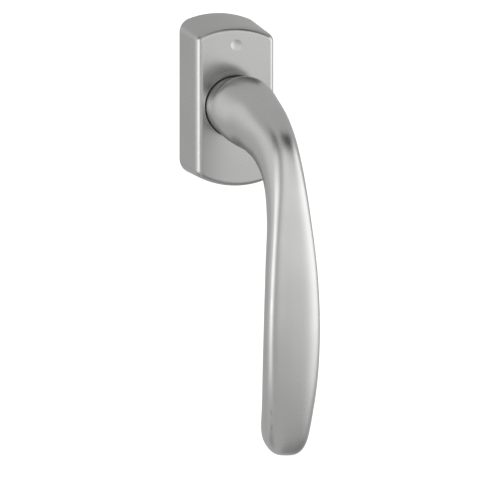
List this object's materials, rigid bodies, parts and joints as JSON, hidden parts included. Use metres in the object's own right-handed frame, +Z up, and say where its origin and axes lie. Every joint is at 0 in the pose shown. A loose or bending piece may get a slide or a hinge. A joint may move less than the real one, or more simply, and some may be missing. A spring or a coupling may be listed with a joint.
{
  "type": "tilt and turn window handle",
  "caption": "Curved lever handle on a narrow rounded rose, with a detent, a lift-off cap and a sprung square spindle, for tilt and turn windows.",
  "frame": {"origin": "where the spindle's axis crosses the sash face that the rose is screwed to", "axes": "+Y along the spindle into the sash, -Y out into the room, +Z up, the lever hangs down in the closed position, +X to the right seen from the room"},
  "size_m": [0.032, 0.0715, 0.1575],
  "materials": {
    "lever_aluminium": "satin anodised, natural silver",
    "cap_aluminium": "satin anodised, natural silver",
    "zinc": "raw die-cast zinc, dull",
    "steel": "plain stamped steel",
    "spring_steel": "blued spring steel",
    "plated_steel": "zinc plated steel, bright",
    "polyamide": "black moulded nylon"
  },
  "bodies": {
    "rose": {"base_plate": "zinc", "back_cover": "steel", "cover_rivet_left": "steel", "cover_rivet_right": "steel", "support_lug_upper": "polyamide", "support_lug_lower": "polyamide", "bearing_bush": "polyamide", "thrust_washer": "steel", "detent_spring_upper": "spring_steel", "detent_spring_lower": "spring_steel", "cap_clip_upper": "spring_steel", "cap_clip_lower": "spring_steel"},
    "cap": {"rose_cap": "cap_aluminium", "cap_guide_ring": "polyamide"},
    "handle": {"lever": "lever_aluminium", "detent_disc": "steel", "slide_washer": "polyamide", "retaining_ring": "spring_steel", "cross_pin": "steel"},
    "spindle_bar": {"spindle": "plated_steel", "spindle_spring": "spring_steel"}
  },
  "joints": [
    {"name": "handle_turn", "type": "hinge", "parent": "rose", "child": "handle", "pos_m": [0, 0, 0], "axis": [0, 1, 0], "continuous": true, "deforming": ["detent_spring_upper", "detent_spring_lower"]},
    {"name": "cap_lift", "type": "slide", "parent": "rose", "child": "cap", "axis": [0, -1, 0], "range_m": [0, 0.003], "deforming": ["cap_clip_upper", "cap_clip_lower"]},
    {"name": "spindle_slide", "type": "slide", "parent": "handle", "child": "spindle_bar", "axis": [0, -1, 0], "range_m": [0, 0.008], "stiffness_N_per_m": 500, "springref_m": -0.006, "deforming": ["spindle_spring"]}
  ]
}
